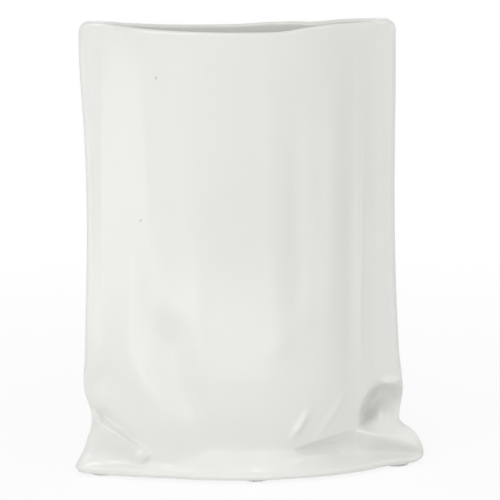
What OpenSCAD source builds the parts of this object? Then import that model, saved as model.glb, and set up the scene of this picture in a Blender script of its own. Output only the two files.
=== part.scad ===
// Ceramic vase in the shape of a slumped paper bag, on four clear pads.
// Millimetres. The vase rests on z = 0, its front faces -Y and its width runs along X.

/* [Body] */
// Overall height, pads included
height = 270; // [250:1:300]
// Width between the tips of the two ears at the foot
width = 211.4; // [200:0.2:230]
// Depth of the tube at its fullest, front to back
belly_depth = 75.2; // [70:0.2:84]
// Width of the tube between the two flat seams
tube_width = 164; // [156:1:168]
// How far the tube lies to the left of the middle of the foot
tube_offset = 7.3; // [5:0.1:9]
// Thickness of the ceramic wall
wall = 5; // [4:0.1:5.6]
// Thickness of the floor
floor_thickness = 6; // [5:0.1:9]
// Radius between the floor and the wall, inside
floor_radius = 9; // [6:0.5:12]

/* [Seams and rim] */
// Thickness of the flat side seams at their edges
seam_thickness = 9.2; // [8.4:0.1:10.4]
// How far in from their edges the seams keep growing thicker
taper_reach = 20; // [14:1:24]
// Fillet between the tube and its left seam
left_seam_fillet = 9; // [6:0.5:12]
// Fillet between the tube and its right seam
right_seam_fillet = 8; // [5:0.5:10]
// Radius of the seams' top corners
corner_radius = 6.5; // [5:0.1:9]
// How far the front rim dips below the seams
front_dip = 5.2; // [2:0.1:9]
// How far the back rim dips below the seams
back_dip = 5; // [2:0.1:9]

/* [Foot] */
// Depth of the foot at its widest line
foot_depth = 75; // [68:1:80]
// Height of the foot's widest line above the underside
foot_lip_height = 2.8; // [2:0.1:5]
// How far the underside draws in from the widest line
foot_draw_in = 2; // [1:0.1:3]
// Softness of the waist above the foot, at the middle
waist_softness = 9; // [7:0.5:13]

/* [Folds] */
// How far the deep dent at the right seam reaches behind the middle plane
dent_depth = 9; // [6:0.5:10]
// Height of the small knob in the deep dent
dent_knob_height = 4; // [2:0.1:5]
// How far the right seam is pushed back by the dent
right_seam_push = 8.5; // [7.5:0.1:10]
// How far the left seam is pushed back at its notch
left_seam_push = 3; // [1:0.1:4]
// Depth of the hollow between the belly and the right of the foot
right_pocket_depth = 7.5; // [4:0.5:9]
// Depth of the hollow under the right ear's ridge
ear_pocket_depth = 6.5; // [3:0.5:7]
// Depth of the hollow under the left ear's crease
left_pocket_depth = 5; // [2:0.5:6]
// Depth of the soft valley that runs down the left of the belly
valley_depth = 4.6; // [1:0.1:6]
// Height of the soft ridge beside that valley
ridge_height = 2; // [0.5:0.1:3]
// Height of the narrow pull folds right of the middle
pull_fold_height = 2.6; // [0.5:0.1:3.5]
// Height of the lip over the deep dent
dent_lip_height = 3.4; // [0.5:0.1:4]

/* [Pads] */
// Diameter of each clear pad
pad_diameter = 16; // [12:0.5:17]
// Thickness of each clear pad
pad_thickness = 2; // [1.5:0.1:3]
// Radius of the pads' lower edge
pad_edge_radius = 0.6; // [0.3:0.1:1]
// Distance from each ear's tip in to the middle of its pad
pad_tip_inset = 17; // [16:0.5:22]
// Distance from the foot's edge in to the middle of the front and back pads
pad_edge_inset = 14.5; // [13:0.5:18]

/* [Hidden] */

half_w = width / 2;
half_d = belly_depth / 2;
half_tube = tube_width / 2;
seam = seam_thickness / 2;
foot_z = pad_thickness;
body_h = height - foot_z;
lip_radius = wall * 0.46;
foot_half = foot_depth / 2;
widest_z = foot_z + foot_lip_height;

// Facet counts: columns round each end, over each seam and over the tube, and rows up the body
end_columns = 3;
left_seam_columns = 4;
right_seam_columns = 7;
front_columns = 44;
back_columns = 24;
column_crowding = 0.5;
foot_rows = 3;
fold_rows = 33;
shaft_rows = 7;
cavity_rows = 3;
cavity_fold_rows = 6;
floor_rows = 4;
fold_top_share = 0.27;
cavity_break_share = 0.42;

// Outlines of the two seams: share of the body's height, share of the half width
left_seam_shares = [
    [0, 0.982], [0.009, 0.998], [0.026, 0.98], [0.046, 0.952], [0.067, 0.934], [0.11, 0.9035],
    [0.134, 0.906], [0.155, 0.9215], [0.175, 0.9385], [0.205, 0.946], [0.246, 0.941], [0.328, 0.934],
    [0.44, 0.925], [0.608, 0.9195], [0.757, 0.93], [0.925, 0.9535], [1, 0.9535]];
right_seam_shares = [
    [0, 0.955], [0.007, 0.985], [0.018, 0.999], [0.03, 0.994], [0.051, 0.9725], [0.065, 0.95], [0.0765, 0.9195],
    [0.087, 0.88], [0.095, 0.863], [0.108, 0.863], [0.134, 0.874], [0.16, 0.878], [0.198, 0.8685],
    [0.239, 0.854], [0.31, 0.841], [0.44, 0.825], [0.571, 0.8165], [0.869, 0.8145], [1, 0.812]];
left_seam_slope = 0.38;
right_seam_slope = 0.38;

// Tube: share of the body's height, share of the half depth and of the half width
tube_depth_shares = [
    [0, 0.78], [0.037, 0.79], [0.06, 0.81], [0.086, 0.862], [0.116, 0.925], [0.153, 0.976],
    [0.209, 1], [0.291, 0.989], [0.44, 0.968], [0.664, 0.957], [1, 0.947]];
tube_width_shares = [[0, 0.976], [0.104, 0.988], [0.216, 1], [0.44, 0.994], [1, 0.982]];
bow_power = 2.4;
bow_sharpness = 0.85;
cavity_sharpness = 0.95;

// Cavity: share of the body's height, share of the half tube width to the left and to the right
cavity_left_shares = [[0, 0.86], [0.1, 0.89], [0.216, 0.918], [0.44, 0.934], [1, 0.934]];
cavity_right_shares = [
    [0, 0.73], [0.093, 0.72], [0.134, 0.755], [0.179, 0.84], [0.254, 0.905], [0.44, 0.934], [1, 0.934]];
mouth_end_gap = 0.5;

// Foot: its plan as shares of the half width and the half depth, then how steep its upper side is
// and how soft the waist over it
foot_front_shares = [
    [-1, 0.16], [-0.92, 0.27], [-0.79, 0.42], [-0.66, 0.56], [-0.46, 0.70], [-0.33, 0.82],
    [-0.17, 0.93], [0.02, 1], [0.2, 0.95], [0.41, 0.84], [0.555, 0.69], [0.65, 0.56], [0.73, 0.40],
    [0.81, 0.28], [0.9, 0.19], [1, 0.13]];
foot_back_shares = [
    [-1, 0.16], [-0.88, 0.31], [-0.73, 0.48], [-0.5, 0.69], [-0.25, 0.87], [0.05, 0.97],
    [0.4, 0.84], [0.65, 0.60], [0.85, 0.36], [1, 0.15]];
foot_slopes = [
    [-1, 0.1], [-0.66, 0.14], [-0.5, 0.85], [-0.33, 0.85], [0, 0.8], [0.21, 0.9], [0.38, 1.8],
    [0.5, 2.4], [0.85, 2.2], [1, 1.2]];
waist_soft_shares = [
    [-1, 0.1], [-0.71, 0.14], [-0.57, 0.36], [-0.38, 0.82], [0, 1], [0.17, 0.82], [0.28, 0.45],
    [0.43, 0.27], [1, 0.18]];

// Ridge of the right ear: share of the half width, share of the body's height, share of the half depth,
// then how steep it falls away above and below
right_ridge_shares = [
    [0.47, 0.094, -0.16], [0.53, 0.092, 0.16], [0.577, 0.089, 0.36], [0.624, 0.086, 0.43],
    [0.681, 0.081, 0.445], [0.804, 0.066, 0.346], [0.908, 0.047, 0.226], [1, 0.026, 0.12]];
ridge_top_slopes = [[0.5, 3], [0.65, 4.2], [0.69, 2.8], [0.73, 1.7], [0.78, 1.25], [0.9, 1.05], [1, 1]];
right_ridge_slopes = [1, -0.12];
back_right_ridge_slopes = [0.8, 0.1];
ridge_rounding = 4;
ridge_blend = 2.5;
back_softening = 3;

// Crease of the left ear: share of the half width, share of the body's height
left_crease_shares = [
    [-1, 0.16], [-0.903, 0.135], [-0.84, 0.112], [-0.776, 0.0985], [-0.713, 0.082], [-0.653, 0.066],
    [-0.6, 0.055], [-0.5, 0.036]];
left_crease_slope = 2;
crease_rounding = 1.6;

// Hollows under the ridges: share of the half width, upper and lower share of the body's height,
// share of the hollow's depth; the powers soften its upper and lower edge
right_pocket_shares = [
    [0.208, 0.062, 0.056, 0], [0.255, 0.069, 0.047, 0.28], [0.34, 0.077, 0.04, 0.6], [0.42, 0.084, 0.034, 0.7],
    [0.5, 0.089, 0.029, 0.53], [0.58, 0.089, 0.025, 0.2], [0.66, 0.086, 0.023, 0]];
right_pocket_powers = [1.4, 1.4];
ear_pocket_shares = [
    [0.52, 0.088, 0.028, 0], [0.59, 0.087, 0.025, 0.3], [0.64, 0.086, 0.023, 0.72], [0.7, 0.08, 0.021, 1],
    [0.8, 0.067, 0.018, 0.92], [0.9, 0.05, 0.016, 0.62], [0.97, 0.035, 0.015, 0.18], [1, 0.03, 0.015, 0]];
ear_pocket_powers = [2.2, 1];
left_pocket_shares = [
    [-1, 0.045, 0.02, 0], [-0.9, 0.115, 0.02, 0.6], [-0.8, 0.1, 0.021, 1], [-0.7, 0.078, 0.022, 0.9],
    [-0.6, 0.056, 0.026, 0.45], [-0.5, 0.045, 0.03, 0.1], [-0.42, 0.04, 0.033, 0]];
left_pocket_powers = [2, 1];

// Soft dent and seam pushes: places and sizes as shares of the half width and the body's height
soft_dent_place_shares = [-0.832, 0.228];
soft_dent_size_shares = [0.076, 0.0336];
soft_dent_share = 0.5;
right_push_place_shares = [0.8, 0.13];
right_push_size_shares = [0.11, 0.042];
left_push_place_shares = [-0.88, 0.119];
left_push_size_shares = [0.076, 0.026];

// Deep dent: the middle of its left wall, share of the body's height against share of the half width,
// then its ceiling the other way round, and how wide its edges are
dent_wall_shares = [
    [0.07, 0.685], [0.093, 0.665], [0.119, 0.66], [0.145, 0.68], [0.17, 0.71], [0.2, 0.75]];
dent_ceiling_shares = [[0.6, 0.178], [0.7, 0.177], [0.8, 0.172], [0.9, 0.163]];
dent_wall_width = 18;
dent_ceiling_width = 11;
dent_floor_width = 6;
dent_floor_blend = 5;
dent_corner_place_shares = [0.87, 0.11];
dent_floor_slopes = [0.12, 0.08];
dent_knob_place_shares = [0.73, 0.122];
dent_knob_size_shares = [0.033, 0.0135];
thin_softness = 3;

// Folds: from and to as shares of the half width and the body's height, then width and height
valley_width = 10;
ridge_width = 9;
pull_fold_width = 2.3;
dent_lip_width = 2.8;
drape_width = 6.5;
drape_height = 1.4;
pleat_width = 1.3;
pleat_height = 0.35;
crease_width = 1.5;
crease_height = 1.1;
groove_width = 2.4;
groove_depth = 0.5;
knob_width = 3.4;
knob_height = 3;
fold_core_share = 0.15;
fold_end_share = 0.29;
front_fold_shares = [
    [[-0.48, 0.37], [-0.32, 0.15], valley_width, -valley_depth],
    [[-0.37, 0.21], [-0.12, 0.04], valley_width, -valley_depth * 0.7],
    [[-0.64, 0.26], [-0.39, 0.08], ridge_width, ridge_height],
    [[0.286, 0.15], [0.189, 0.086], pull_fold_width, pull_fold_height],
    [[0.52, 0.183], [0.331, 0.082], pull_fold_width, pull_fold_height * 0.35],
    [[0.74, 0.187], [0.85, 0.185], dent_lip_width, dent_lip_height],
    [[-0.58, 1.1], [-0.46, 0.32], drape_width, drape_height],
    [[-0.44, 1.0], [-0.36, 0.4], drape_width, -drape_height / 2],
    [[0.05, 0.95], [0.08, 0.35], drape_width, drape_height / 2],
    [[0.208, 0.85], [0.227, 0.3], drape_width, -drape_height],
    [[0.44, 0.9], [0.40, 0.22], drape_width, drape_height],
    [[0.54, 0.7], [0.53, 0.18], drape_width * 0.7, -drape_height],
    [[0.62, 0.8], [0.60, 0.17], pleat_width, pleat_height],
    [[0.04, 0.27], [0.34, 0.40], drape_width, drape_height / 2]];
ear_fold_shares = [
    [[-0.87, 0.121], [-0.64, 0.062], crease_width, crease_height],
    [[-0.87, 0.146], [-0.58, 0.06], groove_width, -groove_depth],
    [[-0.67, 0.061], [-0.6, 0.044], knob_width, knob_height]];
back_fold_shares = [
    [[0.378, 0.328], [0.236, 0.127], valley_width, -ridge_height],
    [[-0.284, 0.254], [-0.189, 0.097], ridge_width, -valley_depth * 0.6]];

// Rim: share of the half width, share of the dip's depth
front_rim_shares = [
    [-0.92, 0], [-0.83, 0.12], [-0.77, 0.36], [-0.66, 0.58], [-0.47, 0.81], [-0.24, 0.96], [0.03, 1],
    [0.11, 0.98], [0.18, 0.84], [0.25, 0.63], [0.345, 0.4], [0.43, 0.29], [0.55, 0.29], [0.63, 0.26],
    [0.7, 0.13], [0.81, 0]];
back_rim_shares = [
    [-0.92, 0], [-0.8, 0.16], [-0.675, 0.48], [-0.54, 0.74], [-0.42, 0.9], [-0.22, 1], [0.03, 0.9],
    [0.11, 0.78], [0.21, 0.7], [0.3, 0.64], [0.37, 0.66], [0.45, 0.5], [0.52, 0.28], [0.6, 0.14],
    [0.68, 0.02], [0.81, 0]];
rim_start_share = 0.55;

// Soft maximum and minimum of two heights, blended over the length k
function soft_max(a, b, k) = max(a, b) + pow(max(k - abs(a - b), 0) / k, 2) * k / 4;
function soft_min(a, b, k) = -soft_max(-a, -b, k);

// Bell curve, 1 at t = 0, and a smooth step from 0 at t = 0 to 1 at t = 1
function bell(t) = exp(-t * t);
function step(t) = let (c = min(max(t, 0), 1)) c * c * (3 - 2 * c);

// Smooth curve through a list of points, column c against column 0
function chord(p, i, c) = (p[i + 1][c] - p[i][c]) / (p[i + 1][0] - p[i][0]);
function tangent(p, i, c) =
    i == 0 ? chord(p, 0, c)
    : i == len(p) - 1 ? chord(p, i - 1, c)
    : let (a = p[i][0] - p[i - 1][0], b = p[i + 1][0] - p[i][0])
        (chord(p, i - 1, c) * b + chord(p, i, c) * a) / (a + b);
function curve(p, t, c = 1) =
    let (
        last = len(p) - 1,
        u = min(max(t, p[0][0]), p[last][0]),
        i = min(len([for (q = p) if (q[0] <= u) 1]), last) - 1,
        h = p[i + 1][0] - p[i][0],
        s = (u - p[i][0]) / h)
    (1 + 2 * s) * pow(1 - s, 2) * p[i][c] + s * pow(1 - s, 2) * h * tangent(p, i, c)
    + s * s * (3 - 2 * s) * p[i + 1][c] + s * s * (s - 1) * h * tangent(p, i + 1, c);

// A place given by shares, in millimetres, and back again
function place(shares) = [half_w * shares[0], foot_z + body_h * shares[1]];
function across(x) = x / half_w;
function up(z) = (z - foot_z) / body_h;

// Soft ridges and valleys, each laid out as its start, its direction, its length, its width and its height
function laid(list) = [for (f = list)
    let (from = place(f[0]), run = place(f[1]) - from)
    [from, run / norm(run), norm(run), f[2], f[3]]];
front_folds = laid(front_fold_shares);
back_folds = laid(back_fold_shares);
ear_folds = laid(ear_fold_shares);
function fold(x, z, f) =
    let (
        arm = [x, z] - f[0],
        aside = cross(f[1], arm) / f[3],
        past = max(abs(arm * f[1] / f[2] - 0.5) - fold_core_share, 0) / fold_end_share)
    f[4] * exp(-aside * aside - past * past);
function sum_of(v, i = 0) = i < len(v) ? v[i] + sum_of(v, i + 1) : 0;
function folds(x, z, list) = sum_of([for (f = list) fold(x, z, f)]);

// Round dent or bulge at a place, 1 at its middle
function spot(x, z, at_shares, size_shares) =
    bell((x - place(at_shares)[0]) / (half_w * size_shares[0]))
    * bell((z - place(at_shares)[1]) / (body_h * size_shares[1]));

// Tube between the seams: half depth at x, z, below 0 past its ends
function bow(u, sharpness) =
    let (left = 1 - pow(abs(u), bow_power)) sign(left) * pow(abs(left), sharpness);
function tube_reach(z) = half_tube * curve(tube_width_shares, up(z));
function tube(x, z) =
    half_d * curve(tube_depth_shares, up(z)) * bow((x + tube_offset) / tube_reach(z), bow_sharpness);

// Seams: how far they are pushed back from the middle plane, half their thickness, their fillets
function seam_push(x, z) =
    right_seam_push * spot(x, z, right_push_place_shares, right_push_size_shares)
    + left_seam_push * spot(x, z, left_push_place_shares, left_push_size_shares);
function seam_half(x, z) =
    let (
        from_left = x + half_w * curve(left_seam_shares, up(z)) - seam,
        from_right = half_w * curve(right_seam_shares, up(z)) - x - seam)
    seam + (x < -tube_offset
        ? left_seam_slope * min(max(from_left, 0), taper_reach)
        : right_seam_slope * min(max(from_right, 0), taper_reach));
function seam_fillet(x) = x < -tube_offset ? left_seam_fillet : right_seam_fillet;

// Foot: its upper slope, and the same cut off along the crease of the left ear
function foot_slope(x, z, plan_shares) =
    let (line = foot_half * curve(plan_shares, across(x)))
    soft_min(
        line - curve(foot_slopes, across(x)) * (z - widest_z - foot_draw_in / 3),
        line,
        foot_draw_in);
function left_facet(x, z, plan_shares) =
    across(x) >= left_crease_shares[len(left_crease_shares) - 1][0]
        ? foot_slope(x, z, plan_shares)
        : let (
            crease_z = foot_z + body_h * curve(left_crease_shares, across(x)),
            cut = foot_slope(x, crease_z, plan_shares) - left_crease_slope * (z - crease_z))
        soft_min(foot_slope(x, z, plan_shares), cut, crease_rounding);

// Right ear: a ridge with one slope above it and one below
function at_ear(x) = across(x) > right_ridge_shares[0][0];
function ear(x, z, slopes, rounding) =
    let (
        ridge_z = foot_z + body_h * curve(right_ridge_shares, across(x), 1),
        ridge_out = half_d * curve(right_ridge_shares, across(x), 2),
        top_slope = slopes[0] * curve(ridge_top_slopes, across(x)))
    soft_min(ridge_out - top_slope * (z - ridge_z), ridge_out - slopes[1] * (z - ridge_z), rounding);

// Deep dent: how far it has replaced the tube, from 0 to 1, and its leaning floor
function dent_share(x, z) =
    !at_ear(x) ? 0
    : let (
        wall_x = half_w * curve(dent_wall_shares, up(z)),
        ceiling_z = foot_z + body_h * curve(dent_ceiling_shares, across(x)),
        floor_z = foot_z + body_h * curve(right_ridge_shares, across(x), 1))
    step(0.5 + (x - wall_x) / dent_wall_width)
    * step(0.5 + (ceiling_z - z) / dent_ceiling_width)
    * step(1 + (z - floor_z) / dent_floor_width);
function dent_floor(x, z) =
    let (corner = place(dent_corner_place_shares))
    dent_floor_slopes[0] * (corner[0] - x) + dent_floor_slopes[1] * (z - corner[1]) - dent_depth;

// Hollow between an upper and a lower line
function pocket(x, z, shares, powers, depth) =
    across(x) <= shares[0][0] || across(x) >= shares[len(shares) - 1][0] ? 0
    : let (
        top = foot_z + body_h * curve(shares, across(x), 1),
        bottom = foot_z + body_h * curve(shares, across(x), 2),
        t = min(max((2 * z - top - bottom) / (top - bottom), -1), 1),
        deepest = (powers[1] - powers[0]) / (powers[1] + powers[0]),
        full = pow(1 - deepest, powers[0]) * pow(1 + deepest, powers[1]))
    depth * curve(shares, across(x), 3) * pow(1 - t, powers[0]) * pow(1 + t, powers[1]) / full;

// Back and front faces: distance from the middle plane
function back_face(x, z) =
    let (
        plain = soft_max(tube(x, z), seam_half(x, z) + seam_push(x, z), seam_fillet(x))
            + folds(x, z, back_folds),
        footed = soft_max(
            plain,
            left_facet(x, z, foot_back_shares),
            back_softening + waist_softness * curve(waist_soft_shares, across(x))))
    at_ear(x)
        ? soft_max(footed, ear(x, z, back_right_ridge_slopes, back_softening), back_softening)
        : footed;
function front_tube(x, z, dented) =
    let (
        plain = soft_max(tube(x, z), seam_half(x, z) - seam_push(x, z), seam_fillet(x))
            + folds(x, z, front_folds)
            - soft_dent_share * valley_depth * spot(x, z, soft_dent_place_shares, soft_dent_size_shares))
    plain * (1 - dented) + dent_floor(x, z) * dented;
function front_face(x, z) =
    let (
        dented = dent_share(x, z),
        footed = soft_max(
            front_tube(x, z, dented),
            left_facet(x, z, foot_front_shares),
            waist_softness * curve(waist_soft_shares, across(x))),
        blend = ridge_blend + (dent_floor_blend - ridge_blend) * dented,
        eared = at_ear(x) ? soft_max(footed, ear(x, z, right_ridge_slopes, ridge_rounding), blend) : footed,
        hollowed = eared
            - pocket(x, z, right_pocket_shares, right_pocket_powers, right_pocket_depth)
            - pocket(x, z, ear_pocket_shares, ear_pocket_powers, ear_pocket_depth)
            - pocket(x, z, left_pocket_shares, left_pocket_powers, left_pocket_depth)
            + folds(x, z, ear_folds)
            + dent_knob_height * spot(x, z, dent_knob_place_shares, dent_knob_size_shares))
    hollowed > wall ? hollowed : soft_max(hollowed, wall - back_face(x, z), thin_softness);

// How far the rim lies below the seams, growing towards the top
function drop(x, z, shares, depth) =
    let (start = foot_z + body_h * rim_start_share)
    z < start ? 0 : depth * max(curve(shares, across(x)), 0) * pow((z - start) / (height - start), 2);
function front_drop(x, z) = drop(x, z, front_rim_shares, front_dip);
function back_drop(x, z) = drop(x, z, back_rim_shares, back_dip);

// Left and right ends of the outline, with the rounded top corners
function quarter(h, r) = let (c = min(max(h, 0), r)) r - sqrt(max(r * r - pow(r - c, 2), 0));
function left_end(z) = -half_w * curve(left_seam_shares, up(z)) + quarter(height - z, corner_radius);
function right_end(z) = half_w * curve(right_seam_shares, up(z)) - quarter(height - z, corner_radius);

// Columns of a row from left to right, each as its x and its share of the full thickness
function spread(t) = t - column_crowding * sin(360 * t) / (2 * PI);
function columns(z, count) =
    let (
        left = left_end(z),
        right = right_end(z),
        tube_left = -tube_offset - tube_reach(z),
        tube_right = -tube_offset + tube_reach(z))
    concat(
        [for (k = [0 : end_columns - 1])
            let (a = 90 * k / end_columns) [left + seam * (1 - cos(a)), sin(a)]],
        [for (k = [0 : left_seam_columns - 1])
            [left + seam + (tube_left - left - seam) * k / left_seam_columns, 1]],
        [for (k = [0 : count]) [tube_left + (tube_right - tube_left) * spread(k / count), 1]],
        [for (k = [right_seam_columns - 1 : -1 : 0])
            [right - seam - (right - seam - tube_right) * k / right_seam_columns, 1]],
        [for (k = [end_columns - 1 : -1 : 0])
            let (a = 90 * k / end_columns) [right - seam * (1 - cos(a)), sin(a)]]);

// Outer skin, row by row
function foot_inset(z) =
    let (q = min(max((widest_z - z) / foot_lip_height, 0), 1)) foot_draw_in * (1 - sqrt(1 - q * q));
function front_point(column, z) =
    let (
        x = column[0],
        level = z - front_drop(x, z),
        push = seam_push(x, level),
        thick = front_face(x, level) + push - foot_inset(z) - quarter(height - z, lip_radius))
    [x, push - column[1] * thick, level];
function back_point(column, z) =
    let (
        x = column[0],
        level = z - back_drop(x, z),
        push = seam_push(x, level),
        thick = back_face(x, level) - push - foot_inset(z) - quarter(height - z, lip_radius))
    [x, push + column[1] * thick, level];
function outer_row(z) =
    let (
        front = columns(z, front_columns),
        back = columns(z, back_columns))
    concat(
        [for (column = front) front_point(column, z)],
        [for (k = [len(back) - 2 : -1 : 1]) back_point(back[k], z)]);

fold_top = foot_z + body_h * fold_top_share;
shoulder = height - corner_radius;
outer_levels = concat(
    [for (k = [0 : foot_rows - 1]) widest_z - foot_lip_height * cos(90 * k / foot_rows)],
    [for (k = [0 : fold_rows - 1]) widest_z + (fold_top - widest_z) * k / fold_rows],
    [for (k = [0 : shaft_rows]) fold_top + (shoulder - fold_top) * k / shaft_rows],
    [for (h = [(corner_radius + lip_radius) / 2, lip_radius, lip_radius / 2, lip_radius / 8, 0]) height - h]);

// Cavity, ring by ring: each ring is a level and how far it stands out from the cavity's wall
function cavity_column(share, z, grow) =
    let (
        left = half_tube * curve(cavity_left_shares, up(z)) + grow,
        right = half_tube * curve(cavity_right_shares, up(z)) + grow,
        t = 2 * share - 1)
    [-tube_offset + (t < 0 ? left : right) * t, t];
function cavity_half(column, z, grow, list) =
    let (half = half_d * curve(tube_depth_shares, up(z)) - wall + min(folds(column[0], z, list), 0))
    half * bow(column[1], cavity_sharpness) + mouth_end_gap + grow;
function cavity_ring(ring) =
    let (z = ring[0], grow = ring[1])
    concat(
        [for (k = [0 : front_columns])
            let (c = cavity_column(spread(k / front_columns), z, grow))
            [c[0], -cavity_half(c, z, grow, front_folds), z - front_drop(c[0], z)]],
        [for (k = [back_columns : -1 : 0])
            let (c = cavity_column(spread(k / back_columns), z, grow))
            [c[0], cavity_half(c, z, grow, back_folds), z - back_drop(c[0], z)]]);

cavity_floor = foot_z + floor_thickness;
cavity_top = height - lip_radius;
cavity_break = foot_z + body_h * cavity_break_share;
cavity_rings = concat(
    [for (a = [90, 60, 30]) [height - lip_radius * (1 - sin(a)), lip_radius * (1 - cos(a))]],
    [for (k = [0 : cavity_rows - 1]) [cavity_top - (cavity_top - cavity_break) * k / cavity_rows, 0]],
    [for (k = [0 : cavity_fold_rows - 1])
        [cavity_break - (cavity_break - cavity_floor - floor_radius) * k / cavity_fold_rows, 0]],
    [for (k = [0 : floor_rows]) let (a = 90 * k / floor_rows)
        [cavity_floor + floor_radius * (1 - sin(a)), floor_radius * (cos(a) - 1)]]);

// Vase: outer skin, seam tops, lip and cavity as one closed surface
module vase_body() {
    rows = len(outer_levels);
    ring = len(outer_row(height));
    front_count = len(columns(height, front_columns));
    back_count = len(columns(height, back_columns));
    left_side = end_columns + left_seam_columns;
    right_side = end_columns + right_seam_columns;
    mouth = front_columns + back_columns + 2;
    first = rows * ring;
    rings = len(cavity_rings);
    top = (rows - 1) * ring;
    back_at = function (k) k == 0 ? 0 : k == back_count - 1 ? front_count - 1 : ring - k;

    points = concat(
        [for (z = outer_levels) each outer_row(z)],
        [for (r = cavity_rings) each cavity_ring(r)]);
    fronts = [for (z = outer_levels) columns(z, front_columns)];
    backs = [for (z = outer_levels) columns(z, back_columns)];

    // Each four-sided patch of the skin is folded along the diagonal that lies nearer the true surface
    true_middle = function (r, k)
        let (
            z = (outer_levels[r] + outer_levels[r + 1]) / 2,
            j = ring - k)
        k < front_count - 1
            ? front_point((fronts[r][k] + fronts[r][k + 1] + fronts[r + 1][k] + fronts[r + 1][k + 1]) / 4, z)
            : back_point((backs[r][j] + backs[r][j - 1] + backs[r + 1][j] + backs[r + 1][j - 1]) / 4, z);
    patch = function (r, k)
        let (
            a = r * ring + k,
            b = a + ring,
            c = r * ring + (k + 1) % ring,
            d = c + ring,
            middle = true_middle(r, k))
        norm((points[a] + points[d]) / 2 - middle) < norm((points[b] + points[c]) / 2 - middle)
            ? [[a, b, d], [a, d, c]]
            : [[a, b, c], [b, d, c]];
    skin = [for (r = [0 : rows - 2], k = [0 : ring - 1]) each patch(r, k)];

    underside = [[for (k = [0 : ring - 1]) k]];

    seam_top = function (k, at_end)
        let (
            f0 = top + (at_end ? front_count - 1 - k : k),
            f1 = top + (at_end ? front_count - 2 - k : k + 1),
            b0 = top + back_at(at_end ? back_count - 1 - k : k),
            b1 = top + back_at(at_end ? back_count - 2 - k : k + 1))
        at_end
            ? concat([[f0, f1, b1]], k == 0 ? [] : [[f0, b1, b0]])
            : concat([[f0, b1, f1]], k == 0 ? [] : [[f0, b0, b1]]);
    seam_tops = concat(
        [for (k = [0 : left_side - 1]) each seam_top(k, false)],
        [for (k = [0 : right_side - 1]) each seam_top(k, true)]);

    rim_loop = concat(
        [for (k = [0 : front_columns]) top + left_side + k],
        [for (k = [back_columns : -1 : 0]) top + back_at(left_side + k)]);
    ring_loop = function (r) [for (k = [0 : mouth - 1]) first + r * mouth + k];
    loops = concat([rim_loop], [for (r = [0 : rings - 1]) ring_loop(r)]);
    inside = [for (r = [0 : rings - 1], k = [0 : mouth - 1])
        let (a = loops[r], b = loops[r + 1], n = (k + 1) % mouth)
        each [[a[k], b[k], b[n]], [a[k], b[n], a[n]]]];
    floor_face = [[for (k = [mouth - 1 : -1 : 0]) ring_loop(rings - 1)[k]]];

    color("ghostwhite")
        polyhedron(points, concat(skin, underside, seam_tops, inside, floor_face), convexity = 8);
}

// Clear pad with a rounded lower edge
module pad(x, y) {
    r = pad_diameter / 2;
    e = pad_edge_radius;
    color("gainsboro")
        translate([x, y, 0])
            rotate_extrude($fn = 48)
                union() {
                    square([r - e, pad_thickness]);
                    translate([0, e]) square([r, pad_thickness - e]);
                    translate([r - e, e]) circle(r = e, $fn = 32);
                }
}

side_pad_x = half_w - pad_tip_inset;
side_pad_set_back = pad_diameter * 0.15;
end_pad_y = foot_half - pad_edge_inset;
module pad_front() { pad(0, -end_pad_y); }
module pad_back() { pad(0, end_pad_y); }
module pad_left() { pad(-side_pad_x, side_pad_set_back); }
module pad_right() { pad(side_pad_x, side_pad_set_back); }

vase_body();
pad_front();
pad_back();
pad_left();
pad_right();
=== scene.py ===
# Ceramic vase in the shape of a slumped paper bag: glazed body, clear pads, plain studio.
import math

import bpy
import numpy as np
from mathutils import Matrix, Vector


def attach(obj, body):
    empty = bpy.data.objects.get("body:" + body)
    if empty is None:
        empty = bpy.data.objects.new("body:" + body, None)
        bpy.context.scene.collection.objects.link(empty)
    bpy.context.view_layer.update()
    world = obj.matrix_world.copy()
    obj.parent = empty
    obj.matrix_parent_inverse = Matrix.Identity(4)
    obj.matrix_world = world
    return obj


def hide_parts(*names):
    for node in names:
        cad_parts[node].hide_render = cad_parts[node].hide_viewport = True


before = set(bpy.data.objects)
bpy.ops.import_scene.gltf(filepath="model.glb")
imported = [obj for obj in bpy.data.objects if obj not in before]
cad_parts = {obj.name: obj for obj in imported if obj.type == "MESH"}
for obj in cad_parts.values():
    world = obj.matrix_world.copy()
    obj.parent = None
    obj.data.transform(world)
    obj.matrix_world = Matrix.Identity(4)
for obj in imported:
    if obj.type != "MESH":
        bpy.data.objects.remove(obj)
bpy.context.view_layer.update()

MM = 0.001

# Driving sizes of the vase, in millimetres, as the CAD model has them
HEIGHT = 270.0
WIDTH = 211.4
BELLY_DEPTH = 75.2
TUBE_WIDTH = 164.0
TUBE_OFFSET = 7.3
WALL = 5.0
FLOOR_THICKNESS = 6.0
FLOOR_RADIUS = 9.0
SEAM_THICKNESS = 9.2
CORNER_RADIUS = 6.5
LIP_SHARE = 0.46
FRONT_DIP = 5.2
BACK_DIP = 5.0
LEFT_SEAM_FILLET = 9.0
LEFT_SEAM_TAPER = 0.38
RIGHT_SEAM_TAPER = 0.38
TAPER_REACH = 20.0
RIGHT_SEAM_FILLET = 8.0
FOOT_DEPTH = 75.0
FOOT_LIP_HEIGHT = 2.8
FOOT_DRAW_IN = 2.0
DRAW_IN_SHIFT_SHARE = 1 / 3
WAIST_SOFTNESS = 9.0
DENT_DEPTH = 9.0
RIGHT_SEAM_PUSH = 8.5
LEFT_SEAM_PUSH = 3.0
RIGHT_POCKET_DEPTH = 7.5
EAR_POCKET_DEPTH = 6.5
LEFT_POCKET_DEPTH = 5.0
VALLEY_DEPTH = 4.6
RIDGE_HEIGHT = 2.0
PULL_FOLD_HEIGHT = 2.6
DENT_LIP_HEIGHT = 3.4
PAD_THICKNESS = 2.0

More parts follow.
